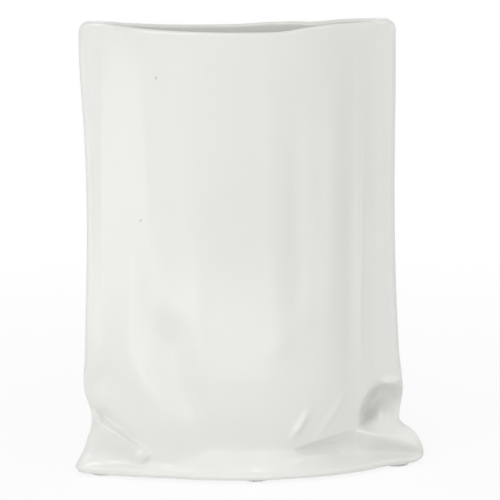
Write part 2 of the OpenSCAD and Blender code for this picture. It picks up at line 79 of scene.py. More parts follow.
HALF_W = WIDTH / 2
HALF_D = BELLY_DEPTH / 2
HALF_TUBE = TUBE_WIDTH / 2
SEAM = SEAM_THICKNESS / 2
FOOT_Z = PAD_THICKNESS
BODY_H = HEIGHT - FOOT_Z
LIP_RADIUS = WALL * LIP_SHARE
FOOT_HALF = FOOT_DEPTH / 2
WIDEST_Z = FOOT_Z + FOOT_LIP_HEIGHT

# Columns and rows of the glazed surface
END_COLUMNS = 8
SEAM_COLUMNS = 26
TUBE_COLUMNS = 230
COLUMN_CROWDING = 0.5
FOOT_ROWS = 8
FOLD_ROWS = 150
SHAFT_ROWS = 50
LIP_ROWS = 10
CAVITY_ROWS = 40
FLOOR_ROWS = 8
FOLD_TOP_SHARE = 0.34

# The tables below are the CAD model's, apart from some places and depths that follow the photograph more
# closely: the two front valleys and their ridge, the first two drapes, both knobs, the soft dent, the deep
# dent's left wall and the lower edges of the three pockets. The surface stays within 3 mm of the CAD model's.

# Outlines of the two seams: share of the body's height, share of the half width
LEFT_SEAM_SHARES = [
    (0, 0.982), (0.009, 0.998), (0.026, 0.98), (0.046, 0.952), (0.067, 0.934), (0.11, 0.9035),
    (0.134, 0.906), (0.155, 0.9215), (0.175, 0.9385), (0.205, 0.946), (0.246, 0.941), (0.328, 0.934),
    (0.44, 0.925), (0.608, 0.9195), (0.757, 0.93), (0.925, 0.9535), (1, 0.9535)]
RIGHT_SEAM_SHARES = [
    (0, 0.955), (0.007, 0.985), (0.018, 0.999), (0.03, 0.994), (0.051, 0.9725), (0.065, 0.95),
    (0.0765, 0.9195), (0.087, 0.88), (0.095, 0.863), (0.108, 0.863), (0.134, 0.874), (0.16, 0.878),
    (0.198, 0.8685), (0.239, 0.854), (0.31, 0.841), (0.44, 0.825), (0.571, 0.8165), (0.869, 0.8145),
    (1, 0.812)]

# Tube: share of the body's height, share of the half depth and of the half width
TUBE_DEPTH_SHARES = [
    (0, 0.78), (0.037, 0.79), (0.06, 0.81), (0.086, 0.862), (0.116, 0.925), (0.153, 0.976),
    (0.209, 1), (0.291, 0.989), (0.44, 0.968), (0.664, 0.957), (1, 0.947)]
TUBE_WIDTH_SHARES = [(0, 0.976), (0.104, 0.988), (0.216, 1), (0.44, 0.994), (1, 0.982)]
BOW_POWER = 2.4
BOW_SHARPNESS = 0.85
CAVITY_SHARPNESS = 0.95

# Cavity: share of the body's height, share of the half tube width to the left and to the right
CAVITY_LEFT_SHARES = [(0, 0.86), (0.1, 0.89), (0.216, 0.918), (0.44, 0.934), (1, 0.934)]
CAVITY_RIGHT_SHARES = [
    (0, 0.73), (0.093, 0.72), (0.134, 0.755), (0.179, 0.84), (0.254, 0.905), (0.44, 0.934), (1, 0.934)]

# Foot: its plan as shares of the half width and the half depth, and how steep its upper side is
FOOT_FRONT_SHARES = [
    (-1, 0.16), (-0.92, 0.27), (-0.79, 0.42), (-0.66, 0.56), (-0.46, 0.70), (-0.33, 0.82),
    (-0.17, 0.93), (0.02, 1), (0.2, 0.95), (0.41, 0.84), (0.555, 0.69), (0.65, 0.56), (0.73, 0.40),
    (0.81, 0.28), (0.9, 0.19), (1, 0.13)]
FOOT_BACK_SHARES = [
    (-1, 0.16), (-0.88, 0.31), (-0.73, 0.48), (-0.5, 0.69), (-0.25, 0.87), (0.05, 0.97),
    (0.4, 0.84), (0.65, 0.60), (0.85, 0.36), (1, 0.15)]
FOOT_SLOPE_SHARES = [
    (-1, 0.1), (-0.66, 0.14), (-0.5, 0.85), (-0.33, 0.85), (0, 0.8), (0.21, 0.9), (0.38, 1.8),
    (0.5, 2.4), (0.85, 2.2), (1, 1.2)]
WAIST_SOFT_SHARES = [
    (-1, 0.1), (-0.71, 0.14), (-0.57, 0.36), (-0.38, 0.82), (0, 1), (0.17, 0.82), (0.28, 0.45),
    (0.43, 0.27), (1, 0.18)]

# Ridges of the ears: share of the half width, share of the body's height, share of the half depth
RIGHT_RIDGE_SHARES = [
    (0.47, 0.094, -0.16), (0.53, 0.092, 0.16), (0.577, 0.089, 0.36), (0.624, 0.086, 0.43),
    (0.681, 0.081, 0.445), (0.804, 0.066, 0.346), (0.908, 0.047, 0.226), (1, 0.026, 0.12)]
RIDGE_TOP_SHARES = [(0.5, 3), (0.65, 4.2), (0.69, 2.8), (0.73, 1.7), (0.78, 1.25), (0.9, 1.05), (1, 1)]
LEFT_CREASE_SHARES = [
    (-1, 0.16), (-0.903, 0.135), (-0.84, 0.112), (-0.776, 0.0985), (-0.713, 0.082), (-0.653, 0.066),
    (-0.6, 0.055), (-0.5, 0.036)]
LEFT_CREASE_SLOPE = 2.0
CREASE_ROUNDING = 1.6
RIGHT_RIDGE_SLOPES = (1, -0.12)
BACK_RIGHT_RIDGE_SLOPES = (0.8, 0.1)

# Pockets under the two ridges: share of the half width, upper and lower share of the body's height,
# share of the pocket's depth
RIGHT_POCKET_SHARES = [
    (0.208, 0.062, 0.056, 0), (0.255, 0.069, 0.047, 0.28), (0.34, 0.077, 0.04, 0.6),
    (0.42, 0.084, 0.034, 0.7), (0.5, 0.089, 0.025, 0.53), (0.58, 0.089, 0.021, 0.2),
    (0.66, 0.086, 0.018, 0)]
RIGHT_POCKET_POWERS = (1.4, 1.4)
EAR_POCKET_SHARES = [
    (0.52, 0.088, 0.024, 0), (0.59, 0.087, 0.021, 0.3), (0.64, 0.086, 0.018, 0.72),
    (0.7, 0.08, 0.016, 1), (0.8, 0.067, 0.014, 0.92), (0.9, 0.05, 0.013, 0.62),
    (0.97, 0.035, 0.013, 0.18), (1, 0.03, 0.013, 0)]
EAR_POCKET_POWERS = (2.2, 1)
LEFT_POCKET_SHARES = [
    (-1, 0.045, 0.014, 0), (-0.9, 0.115, 0.015, 0.6), (-0.8, 0.1, 0.016, 1), (-0.7, 0.078, 0.017, 0.9),
    (-0.6, 0.056, 0.021, 0.45), (-0.5, 0.045, 0.026, 0.1), (-0.42, 0.04, 0.03, 0)]
LEFT_POCKET_POWERS = (2, 0.8)

# Soft dent and seam pushes: places as shares of the half width and the body's height
SOFT_DENT_PLACE = (-0.832, 0.205)
SOFT_DENT_SIZE = (0.08, 0.042)
SOFT_DENT_SHARE = 0.4
RIGHT_PUSH_PLACE = (0.8, 0.13)
RIGHT_PUSH_SIZE = (0.11, 0.042)
LEFT_PUSH_PLACE = (-0.88, 0.119)
LEFT_PUSH_SIZE = (0.076, 0.026)

# Deep dent: the middle of its left wall, share of the body's height against share of the half width,
# then its ceiling and how wide its edges are
DENT_WALL_SHARES = [
    (0.07, 0.67), (0.093, 0.65), (0.119, 0.645), (0.145, 0.665), (0.17, 0.7), (0.2, 0.745)]
DENT_CEILING_SHARES = [(0.6, 0.178), (0.7, 0.177), (0.8, 0.172), (0.9, 0.163)]
DENT_WALL_WIDTH = 14.0
DENT_CEILING_WIDTH = 11.0
DENT_FLOOR_WIDTH = 6.0
DENT_FLOOR_BLEND = 5.0
DENT_CORNER_PLACE = (0.87, 0.11)
DENT_LEAN = (0.12, 0.08)

# Folds: from and to as shares of the half width and the body's height, then width and height
VALLEY_WIDTH = 10.0
RIDGE_WIDTH = 9.0
PULL_FOLD_WIDTH = 2.3
DENT_LIP_WIDTH = 2.8
DRAPE_WIDTH = 6.5
DRAPE_HEIGHT = 1.4
PLEAT_WIDTH = 1.3
PLEAT_HEIGHT = 0.35
FOLD_CORE_SHARE = 0.15
FOLD_END_SHARE = 0.29
FRONT_FOLDS = [
    ((-0.53, 0.37), (-0.36, 0.15), VALLEY_WIDTH, -VALLEY_DEPTH),
    ((-0.41, 0.21), (-0.16, 0.04), VALLEY_WIDTH, -VALLEY_DEPTH * 0.7),
    ((-0.68, 0.26), (-0.43, 0.08), RIDGE_WIDTH, RIDGE_HEIGHT),
    ((0.286, 0.15), (0.189, 0.086), PULL_FOLD_WIDTH, PULL_FOLD_HEIGHT),
    ((0.52, 0.183), (0.331, 0.082), PULL_FOLD_WIDTH, PULL_FOLD_HEIGHT * 0.35),
    ((0.74, 0.187), (0.85, 0.185), DENT_LIP_WIDTH, DENT_LIP_HEIGHT),
    ((-0.67, 1.1), (-0.54, 0.28), DRAPE_WIDTH, DRAPE_HEIGHT),
    ((-0.52, 1.05), (-0.42, 0.36), DRAPE_WIDTH, -DRAPE_HEIGHT * 0.7),
    ((0.05, 0.95), (0.08, 0.35), DRAPE_WIDTH, DRAPE_HEIGHT / 2),
    ((0.208, 0.85), (0.227, 0.3), DRAPE_WIDTH, -DRAPE_HEIGHT),
    ((0.44, 0.9), (0.40, 0.22), DRAPE_WIDTH, DRAPE_HEIGHT),
    ((0.54, 0.7), (0.53, 0.18), DRAPE_WIDTH * 0.7, -DRAPE_HEIGHT),
    ((0.62, 0.8), (0.60, 0.17), PLEAT_WIDTH, PLEAT_HEIGHT),
    ((0.04, 0.27), (0.34, 0.40), DRAPE_WIDTH, DRAPE_HEIGHT / 2)]
CREASE_WIDTH = 1.5
CREASE_HEIGHT = 1.1
GROOVE_WIDTH = 2.4
GROOVE_DEPTH = 0.5
KNOB_WIDTH = 4.0
KNOB_HEIGHT = 2.6
EAR_FOLDS = [
    ((-0.87, 0.121), (-0.64, 0.062), CREASE_WIDTH, CREASE_HEIGHT),
    ((-0.87, 0.146), (-0.58, 0.06), GROOVE_WIDTH, -GROOVE_DEPTH),
    ((-0.67, 0.053), (-0.61, 0.034), KNOB_WIDTH, KNOB_HEIGHT)]
DENT_KNOB_PLACE = (0.73, 0.122)
DENT_KNOB_SIZE = (0.036, 0.0135)
DENT_KNOB_HEIGHT = 3.4
BACK_FOLDS = [
    ((0.378, 0.328), (0.236, 0.127), VALLEY_WIDTH, -RIDGE_HEIGHT),
    ((-0.284, 0.254), (-0.189, 0.097), RIDGE_WIDTH, -VALLEY_DEPTH * 0.6)]
RIDGE_ROUNDING = 4.0
RIDGE_BLEND = 2.5
THIN_SOFTNESS = 3.0
BACK_SOFTENING = 3.0

# Rim: share of the half width, share of the dip's depth
FRONT_RIM_SHARES = [
    (-0.92, 0), (-0.83, 0.12), (-0.77, 0.36), (-0.66, 0.58), (-0.47, 0.81), (-0.24, 0.96), (0.03, 1),
    (0.11, 0.98), (0.18, 0.84), (0.25, 0.63), (0.345, 0.4), (0.43, 0.29), (0.55, 0.29), (0.63, 0.26),
    (0.7, 0.13), (0.81, 0)]
BACK_RIM_SHARES = [
    (-0.92, 0), (-0.8, 0.16), (-0.675, 0.48), (-0.54, 0.74), (-0.42, 0.9), (-0.22, 1), (0.03, 0.9),
    (0.11, 0.78), (0.21, 0.7), (0.3, 0.64), (0.37, 0.66), (0.45, 0.5), (0.52, 0.28), (0.6, 0.14),
    (0.68, 0.02), (0.81, 0)]
RIM_START_SHARE = 0.55
MOUTH_END_GAP = 0.5


def soft_max(a, b, k):
    """The larger of two, rounded where they meet over a width k."""
    return np.maximum(a, b) + (np.maximum(k - np.abs(a - b), 0) / k) ** 2 * k / 4


def soft_min(a, b, k):
    """The smaller of two, rounded where they meet over a width k."""
    return -soft_max(-a, -b, k)


def bell(t):
    """1 at t = 0, falling off to both sides."""
    return np.exp(-t * t)


def curve(points, t, column=1):
    """Smooth curve through a list of points, one column against the first."""
    table = np.array(points, float)
    at, value = table[:, 0], table[:, column]
    gap = np.diff(at)
    chord = np.diff(value) / gap
    tangent = np.empty(len(at))
    tangent[0], tangent[-1] = chord[0], chord[-1]
    tangent[1:-1] = (chord[:-1] * gap[1:] + chord[1:] * gap[:-1]) / (gap[:-1] + gap[1:])
    t = np.clip(t, at[0], at[-1])
    i = np.clip(np.searchsorted(at, t, side="right") - 1, 0, len(gap) - 1)
    s = (t - at[i]) / gap[i]
    return ((1 + 2 * s) * (1 - s) ** 2 * value[i] + s * (1 - s) ** 2 * gap[i] * tangent[i]
            + s * s * (3 - 2 * s) * value[i + 1] + s * s * (s - 1) * gap[i] * tangent[i + 1])


def across(x):
    """Share of the half width."""
    return x / HALF_W


def up(z):
    """Share of the body's height."""
    return (z - FOOT_Z) / BODY_H


def place(shares):
    """x and z of a place given as shares of the half width and the body's height."""
    return HALF_W * shares[0], FOOT_Z + BODY_H * shares[1]


def fold(x, z, start, end, width, height):
    """Soft ridge or valley along a line."""
    (x0, z0), (x1, z1) = place(start), place(end)
    long = math.hypot(x1 - x0, z1 - z0)
    dx, dz = (x1 - x0) / long, (z1 - z0) / long
    along = ((x - x0) * dx + (z - z0) * dz) / long
    aside = dx * (z - z0) - dz * (x - x0)
    past = np.maximum(np.abs(along - 0.5) - FOLD_CORE_SHARE, 0)
    return height * bell(aside / width) * bell(past / FOLD_END_SHARE)


def folds(x, z, table):
    """Sum of all the folds of a table."""
    return sum(fold(x, z, *row) for row in table)


def spot(x, z, at, size):
    """Round dent or bulge at a place, 1 at its middle."""
    px, pz = place(at)
    return bell((x - px) / (HALF_W * size[0])) * bell((z - pz) / (BODY_H * size[1]))


def bow(u, sharpness):
    """1 in the middle, 0 at the ends and below 0 past them."""
    left = 1 - np.abs(u) ** BOW_POWER
    return np.sign(left) * np.abs(left) ** sharpness


def tube_reach(z):
    """Half width of the tube."""
    return HALF_TUBE * curve(TUBE_WIDTH_SHARES, up(z))


def tube(x, z):
    """The bowed tube between the seams."""
    half_depth = HALF_D * curve(TUBE_DEPTH_SHARES, up(z))
    return half_depth * bow((x + TUBE_OFFSET) / tube_reach(z), BOW_SHARPNESS)


def seam_push(x, z):
    """How far the seams are pushed back from the middle plane."""
    return (RIGHT_SEAM_PUSH * spot(x, z, RIGHT_PUSH_PLACE, RIGHT_PUSH_SIZE)
            + LEFT_SEAM_PUSH * spot(x, z, LEFT_PUSH_PLACE, LEFT_PUSH_SIZE))


def foot_slope(x, z, plan):
    """Upper side of the foot, falling outwards from the tube to the foot's edge."""
    line = FOOT_HALF * curve(plan, across(x))
    slope = curve(FOOT_SLOPE_SHARES, across(x))
    above = z - WIDEST_Z - FOOT_DRAW_IN * DRAW_IN_SHIFT_SHARE
    return soft_min(line - slope * above, line, FOOT_DRAW_IN)


def ear(x, z, shares, slopes, rounding):
    """A ridge with one slope above it and one below."""
    ridge_z = FOOT_Z + BODY_H * curve(shares, across(x), 1)
    ridge_out = HALF_D * curve(shares, across(x), 2)
    above = ridge_out - slopes[0] * curve(RIDGE_TOP_SHARES, across(x)) * (z - ridge_z)
    below = ridge_out - slopes[1] * (z - ridge_z)
    return soft_min(above, below, rounding)


def step(t):
    """Smooth step from 0 at t = 0 to 1 at t = 1."""
    c = np.clip(t, 0, 1)
    return c * c * (3 - 2 * c)


def dent_share(x, z):
    """How far the deep dent has replaced the tube, from 0 to 1."""
    wall_x = HALF_W * curve(DENT_WALL_SHARES, up(z))
    ceiling_z = FOOT_Z + BODY_H * curve(DENT_CEILING_SHARES, across(x))
    floor_z = FOOT_Z + BODY_H * curve(RIGHT_RIDGE_SHARES, across(x), 1)
    return (step(0.5 + (x - wall_x) / DENT_WALL_WIDTH)
            * step(0.5 + (ceiling_z - z) / DENT_CEILING_WIDTH)
            * step(1 + (z - floor_z) / DENT_FLOOR_WIDTH))


def dent_floor(x, z):
    """Bottom of the deep dent, leaning in towards its right lower corner."""
    corner_x, corner_z = place(DENT_CORNER_PLACE)
    return DENT_LEAN[0] * (corner_x - x) + DENT_LEAN[1] * (z - corner_z) - DENT_DEPTH


def pocket(x, z, shares, powers, depth):
    """Hollow between an upper and a lower line, 1 at its deepest; the powers soften its two edges."""
    top = FOOT_Z + BODY_H * curve(shares, across(x), 1)
    bottom = FOOT_Z + BODY_H * curve(shares, across(x), 2)
    t = np.clip((2 * z - top - bottom) / (top - bottom), -1, 1)
    upper, lower = powers
    deepest = (lower - upper) / (lower + upper)
    full = (1 - deepest) ** upper * (1 + deepest) ** lower
    profile = depth * curve(shares, across(x), 3) * (1 - t) ** upper * (1 + t) ** lower / full
    inside = (across(x) > shares[0][0]) & (across(x) < shares[-1][0])
    return np.where(inside, profile, 0)


def seam_fillet(x):
    """Rounding between a seam strip and the tube."""
    return np.where(x < -TUBE_OFFSET, LEFT_SEAM_FILLET, RIGHT_SEAM_FILLET)


def seam_half(x, z):
    """Half thickness of the seam strips, growing inwards from their edges."""
    from_left = x + HALF_W * curve(LEFT_SEAM_SHARES, up(z)) - SEAM
    from_right = HALF_W * curve(RIGHT_SEAM_SHARES, up(z)) - x - SEAM
    return SEAM + np.where(x < -TUBE_OFFSET, LEFT_SEAM_TAPER * np.clip(from_left, 0, TAPER_REACH),
                           RIGHT_SEAM_TAPER * np.clip(from_right, 0, TAPER_REACH))


def front_tube(x, z):
    """Front of the tube and seams with the folds and both dents."""
    seamed = soft_max(tube(x, z), seam_half(x, z) - seam_push(x, z), seam_fillet(x))
    soft_dent = SOFT_DENT_SHARE * VALLEY_DEPTH * spot(x, z, SOFT_DENT_PLACE, SOFT_DENT_SIZE)
    plain = seamed + folds(x, z, FRONT_FOLDS) - soft_dent
    share = dent_share(x, z)
    return plain * (1 - share) + dent_floor(x, z) * share


def left_facet(x, z, plan):
    """The foot's upper side, cut off along the crease of the left ear."""
    crease_z = FOOT_Z + BODY_H * curve(LEFT_CREASE_SHARES, across(x))
    slope = foot_slope(x, z, plan)
    cut = foot_slope(x, crease_z, plan) - LEFT_CREASE_SLOPE * (z - crease_z)
    return np.where(across(x) < LEFT_CREASE_SHARES[-1][0], soft_min(slope, cut, CREASE_ROUNDING), slope)


def front_face(x, z):
    """How far the front face stands out from the middle plane."""
    footed = soft_max(front_tube(x, z), left_facet(x, z, FOOT_FRONT_SHARES),
                      WAIST_SOFTNESS * curve(WAIST_SOFT_SHARES, across(x)))
    blend = RIDGE_BLEND + (DENT_FLOOR_BLEND - RIDGE_BLEND) * dent_share(x, z)
    eared = soft_max(footed, ear(x, z, RIGHT_RIDGE_SHARES, RIGHT_RIDGE_SLOPES, RIDGE_ROUNDING), blend)
    hollowed = (eared - pocket(x, z, RIGHT_POCKET_SHARES, RIGHT_POCKET_POWERS, RIGHT_POCKET_DEPTH)
                - pocket(x, z, EAR_POCKET_SHARES, EAR_POCKET_POWERS, EAR_POCKET_DEPTH)
                - pocket(x, z, LEFT_POCKET_SHARES, LEFT_POCKET_POWERS, LEFT_POCKET_DEPTH)
                + folds(x, z, EAR_FOLDS) + DENT_KNOB_HEIGHT * spot(x, z, DENT_KNOB_PLACE, DENT_KNOB_SIZE))
    return soft_max(hollowed, WALL - back_face(x, z), THIN_SOFTNESS)


def back_face(x, z):
    """How far the back face stands out from the middle plane."""
    seamed = soft_max(tube(x, z), seam_half(x, z) + seam_push(x, z), seam_fillet(x))
    plain = seamed + folds(x, z, BACK_FOLDS)
    footed = soft_max(plain, left_facet(x, z, FOOT_BACK_SHARES),
                      BACK_SOFTENING + WAIST_SOFTNESS * curve(WAIST_SOFT_SHARES, across(x)))
    back_ear = ear(x, z, RIGHT_RIDGE_SHARES, BACK_RIGHT_RIDGE_SLOPES, BACK_SOFTENING)
    return soft_max(footed, back_ear, BACK_SOFTENING)


def dip(x, z, shares, depth):
    """How far the rim lies below the seams, growing towards the top."""
    start = FOOT_Z + BODY_H * RIM_START_SHARE
    rise = np.maximum(z - start, 0) / (HEIGHT - start)
    return depth * np.maximum(curve(shares, across(x)), 0) * rise ** 2


def front_dip(x, z):
    return dip(x, z, FRONT_RIM_SHARES, FRONT_DIP)


def back_dip(x, z):
    return dip(x, z, BACK_RIM_SHARES, BACK_DIP)


def quarter(h, r):
    """Inset of an edge rounded with radius r, at the distance h from its end."""
    c = min(max(h, 0), r)
    return r - math.sqrt(max(r * r - (r - c) ** 2, 0))


def spread(t):
    """Even steps from 0 to 1, crowded towards both ends."""
    return t - COLUMN_CROWDING * np.sin(2 * np.pi * t) / (2 * np.pi)


def row_columns(z):
    """Columns of a row from left to right: x, and the share of the full thickness."""
    left = -HALF_W * curve(LEFT_SEAM_SHARES, up(z)) + quarter(HEIGHT - z, CORNER_RADIUS)
    right = HALF_W * curve(RIGHT_SEAM_SHARES, up(z)) - quarter(HEIGHT - z, CORNER_RADIUS)
    tube_left, tube_right = -TUBE_OFFSET - tube_reach(z), -TUBE_OFFSET + tube_reach(z)
    turn = np.linspace(0, np.pi / 2, END_COLUMNS + 1)[:-1]
    seam_step = np.arange(SEAM_COLUMNS) / SEAM_COLUMNS
    middle = tube_left + (tube_right - tube_left) * spread(np.linspace(0, 1, TUBE_COLUMNS + 1))
    x = np.concatenate([
        left + SEAM * (1 - np.cos(turn)),
        left + SEAM + (tube_left - left - SEAM) * seam_step,
        middle,
        (right - SEAM - (right - SEAM - tube_right) * seam_step)[::-1],
        (right - SEAM * (1 - np.cos(turn)))[::-1]])
    share = np.concatenate([np.sin(turn), np.ones(len(x) - 2 * len(turn)), np.sin(turn)[::-1]])
    return x, share


def outer_row(z):
    """One closed ring of the outer skin: the front from left to right, then the back to the left."""
    x, share = row_columns(z)
    q = min(max((WIDEST_Z - z) / FOOT_LIP_HEIGHT, 0), 1)
    inset = FOOT_DRAW_IN * (1 - math.sqrt(1 - q * q)) + quarter(HEIGHT - z, LIP_RADIUS)
    front_z = z - front_dip(x, z)
    back_z = z - back_dip(x, z)
    front_push, back_push = seam_push(x, front_z), seam_push(x, back_z)
    front_y = front_push - share * (front_face(x, front_z) + front_push - inset)
    back_y = back_push + share * (back_face(x, back_z) - back_push - inset)
    front = np.stack([x, front_y, front_z], 1)
    back = np.stack([x, back_y, back_z], 1)
    return np.concatenate([front, back[1:-1][::-1]])


def outer_levels():
    """Level of each ring of the outer skin, closest where the folds and the roundings are."""
    foot = WIDEST_Z - FOOT_LIP_HEIGHT * np.cos(np.linspace(0, np.pi / 2, FOOT_ROWS + 1))[:-1]
    fold_top = FOOT_Z + BODY_H * FOLD_TOP_SHARE
    low = np.linspace(WIDEST_Z, fold_top, FOLD_ROWS + 1)[:-1]
    high = np.linspace(fold_top, HEIGHT - CORNER_RADIUS, SHAFT_ROWS + 1)
    turn = np.linspace(0, np.pi / 2, LIP_ROWS + 1)[1:]
    corner = HEIGHT - CORNER_RADIUS * (1 - np.sin(turn))
    lip = HEIGHT - LIP_RADIUS * (1 - np.sin(turn))
    top = np.unique(np.round(np.concatenate([corner, lip]), 4))
    return np.concatenate([foot, low, high, top])


def cavity_ring(z, grow, count):
    """One ring of the cavity, with as many points along the front as a row has columns."""
    left = HALF_TUBE * curve(CAVITY_LEFT_SHARES, up(z)) + grow
    right = HALF_TUBE * curve(CAVITY_RIGHT_SHARES, up(z)) + grow
    t = 2 * spread(np.linspace(0, 1, count)) - 1
    x = -TUBE_OFFSET + np.where(t < 0, left, right) * t
    half = HALF_D * curve(TUBE_DEPTH_SHARES, up(z)) - WALL
    front_half = half + np.minimum(folds(x, z, FRONT_FOLDS), 0)
    back_half = half + np.minimum(folds(x, z, BACK_FOLDS), 0)
    front_y = front_half * bow(t, CAVITY_SHARPNESS) + MOUTH_END_GAP + grow
    back_y = back_half * bow(t, CAVITY_SHARPNESS) + MOUTH_END_GAP + grow
    front = np.stack([x, -front_y, z - front_dip(x, z)], 1)
    back = np.stack([x, back_y, z - back_dip(x, z)], 1)
    return np.concatenate([front, back[::-1]])


def cavity_levels():
    """Level of each cavity ring, and how far it stands out from the cavity's wall."""
    turn = np.linspace(0, np.pi / 2, FLOOR_ROWS + 1)
    floor = FOOT_Z + FLOOR_THICKNESS
    lip = [(HEIGHT - LIP_RADIUS * (1 - math.sin(a)), LIP_RADIUS * (1 - math.cos(a)))
           for a in turn[:0:-1]]
    wall_levels = np.linspace(HEIGHT - LIP_RADIUS, floor + FLOOR_RADIUS, CAVITY_ROWS + 1)[:-1]
    walls = [(z, 0) for z in wall_levels]
    bottom = [(floor + FLOOR_RADIUS * (1 - math.sin(a)), FLOOR_RADIUS * (math.cos(a) - 1))
              for a in turn]
    return lip + walls + bottom


def vase_mesh():
    """Outer skin, seam tops, lip, cavity, floor and underside as one closed mesh."""
    rows = [outer_row(z) for z in outer_levels()]
    ring = len(rows[0])
    count = ring // 2 + 1
    side = END_COLUMNS + SEAM_COLUMNS
    mouth_front = count - 2 * side
    rings = [cavity_ring(z, grow, mouth_front) for z, grow in cavity_levels()]
    mouth = len(rings[0])
    points = np.concatenate(rows + rings)
    faces = []
    for r in range(len(rows) - 1):
        a, b = r * ring, (r + 1) * ring
        faces += [(a + k, a + (k + 1) % ring, b + (k + 1) % ring, b + k) for k in range(ring)]
    top = (len(rows) - 1) * ring

    def strip(base, first, last):
        """Faces between the front and the back half of an outer row."""
        made = []
        for k in range(first, last):
            quad = [base + k, base + k + 1, base + (ring - k - 1) % ring, base + (ring - k) % ring]
            made.append(tuple(p for i, p in enumerate(quad) if p != quad[i - 1]))
        return made

    faces += [face[::-1] for face in strip(0, 0, count - 1)]
    faces += strip(top, 0, side) + strip(top, count - 1 - side, count - 1)
    first = len(rows) * ring
    loops = [[top + side + k for k in range(mouth_front)]
             + [top + (ring - side - mouth_front + 1 + k) % ring for k in range(mouth_front)]]
    loops += [[first + r * mouth + k for k in range(mouth)] for r in range(len(rings))]
    for a, b in zip(loops, loops[1:]):
        faces += [(a[k], a[(k + 1) % mouth], b[(k + 1) % mouth], b[k]) for k in range(mouth)]
    last = loops[-1]
    faces += [(last[k], last[k + 1], last[mouth - 2 - k], last[mouth - 1 - k])
              for k in range(mouth_front - 1)]
    mesh = bpy.data.meshes.new("vase_shell")
    mesh.from_pydata((points * MM).tolist(), [], faces)
    mesh.validate()
    mesh.update()
    mesh.shade_smooth()
    return mesh


def new_material(name):
    material = bpy.data.materials.new(name)
    material.use_nodes = True
    tree = material.node_tree
    return material, tree, tree.nodes["Principled BSDF"]


def grey(value):
    return (value, value, value)


def socket(sockets, identifier):
    """The socket with this identifier, where several share a name."""
    return next(each for each in sockets if each.identifier == identifier)


def object_noise(tree, scale, detail):
    """Noise in the object's own space."""
    space = tree.nodes.new("ShaderNodeTexCoord")
    noise = tree.nodes.new("ShaderNodeTexNoise")
    noise.inputs["Scale"].default_value = scale
    noise.inputs["Detail"].default_value = detail
    tree.links.new(space.outputs["Object"], noise.inputs["Vector"])
    return noise.outputs["Fac"]


def ramp(tree, source, stops):
    """Colour ramp over a value, from a list of positions and colours."""
    node = tree.nodes.new("ShaderNodeValToRGB")
    elements = node.color_ramp.elements
    while len(elements) < len(stops):
        elements.new(0.5)
    for element, (position, colour) in zip(elements, stops):
        element.position = position
        element.color = (*colour, 1)
    tree.links.new(source, node.inputs["Fac"])
    return node.outputs["Color"]


def largest(tree, values):
    """The largest of several values."""
    total = values[0]
    for value in values[1:]:
        node = tree.nodes.new("ShaderNodeMath")
        node.operation = "MAXIMUM"
        tree.links.new(total, node.inputs[0])
        tree.links.new(value, node.inputs[1])
        total = node.outputs[0]
    return total


def mixed_shader(tree, share, first, second):
    """The first shader at a share of 0, the second at 1."""
    mix = tree.nodes.new("ShaderNodeMixShader")
    tree.links.new(share, mix.inputs[0])
    tree.links.new(first, mix.inputs[1])
    tree.links.new(second, mix.inputs[2])
    return mix.outputs[0]


# Glaze: each noise is a scale and a detail, each stop a position and a colour; lengths in millimetres
GLAZE_CLOUD = (9.0, 4.0)
GLAZE_TONES = [(0.35, (0.775, 0.775, 0.743)), (0.65, (0.80, 0.80, 0.768))]
GLAZE_PATCH = (45.0, 3.0)
GLAZE_ROUGHNESS = [(0.3, grey(0.14)), (0.7, grey(0.19))]
GLAZE_IOR = 1.5
PEEL = (260.0, 2.0)
PEEL_STRENGTH = 0.05
PEEL_DEPTH = 0.4
# Painted shade: a darker glaze tone at the pinholes stands in for the shade inside their pits
PINHOLE_SHADE_TONE = (0.62, 0.62, 0.595, 1)
PINHOLE_RADIUS = 1.1
# Pinholes in the front face: x and z
PINHOLES = [(-57.9, 238.7), (-67.0, 155.6)]


def pinhole_shade(tree, space, x, z):
    """Share of painted pit shade at a pinhole of the front face: 1 in its middle, 0 beyond its rim."""
    away = tree.nodes.new("ShaderNodeVectorMath")
    away.operation = "DISTANCE"
    away.inputs[1].default_value = (x * MM, -float(front_face(x, z)) * MM, z * MM)
    tree.links.new(space, away.inputs[0])
    level = tree.nodes.new("ShaderNodeMapRange")
    level.inputs["From Min"].default_value = PINHOLE_RADIUS * MM
    level.inputs["From Max"].default_value = PINHOLE_RADIUS * MM / 2
    tree.links.new(away.outputs["Value"], level.inputs["Value"])
    return level.outputs[0]


def with_pinhole_shade(tree, tone):
    """The tone of the glaze, darkened at the pinholes with painted shade."""
    space = tree.nodes.new("ShaderNodeTexCoord").outputs["Object"]
    mix = tree.nodes.new("ShaderNodeMix")
    mix.data_type = "RGBA"
    # Painted shade: the pits have no depth, so their shade is painted as a darker tone
    pit_shade = largest(tree, [pinhole_shade(tree, space, x, z) for x, z in PINHOLES])
    tree.links.new(pit_shade, socket(mix.inputs, "Factor_Float"))
    tree.links.new(tone, socket(mix.inputs, "A_Color"))
    socket(mix.inputs, "B_Color").default_value = PINHOLE_SHADE_TONE
    return socket(mix.outputs, "Result_Color")


def glaze_material():
    """White clay under a clear glaze: faint cloudiness, orange-peel and two pinholes with painted shade in
    their pits.
    """
    material, tree, shader = new_material("white_glaze")
    tone = ramp(tree, object_noise(tree, *GLAZE_CLOUD), GLAZE_TONES)
    tree.links.new(with_pinhole_shade(tree, tone), shader.inputs["Base Color"])
    gloss = ramp(tree, object_noise(tree, *GLAZE_PATCH), GLAZE_ROUGHNESS)
    tree.links.new(gloss, shader.inputs["Roughness"])
    shader.inputs["IOR"].default_value = GLAZE_IOR
    bump = tree.nodes.new("ShaderNodeBump")
    bump.inputs["Strength"].default_value = PEEL_STRENGTH
    bump.inputs["Distance"].default_value = PEEL_DEPTH * MM
    tree.links.new(object_noise(tree, *PEEL), bump.inputs["Height"])
    tree.links.new(bump.outputs["Normal"], shader.inputs["Normal"])
    return material


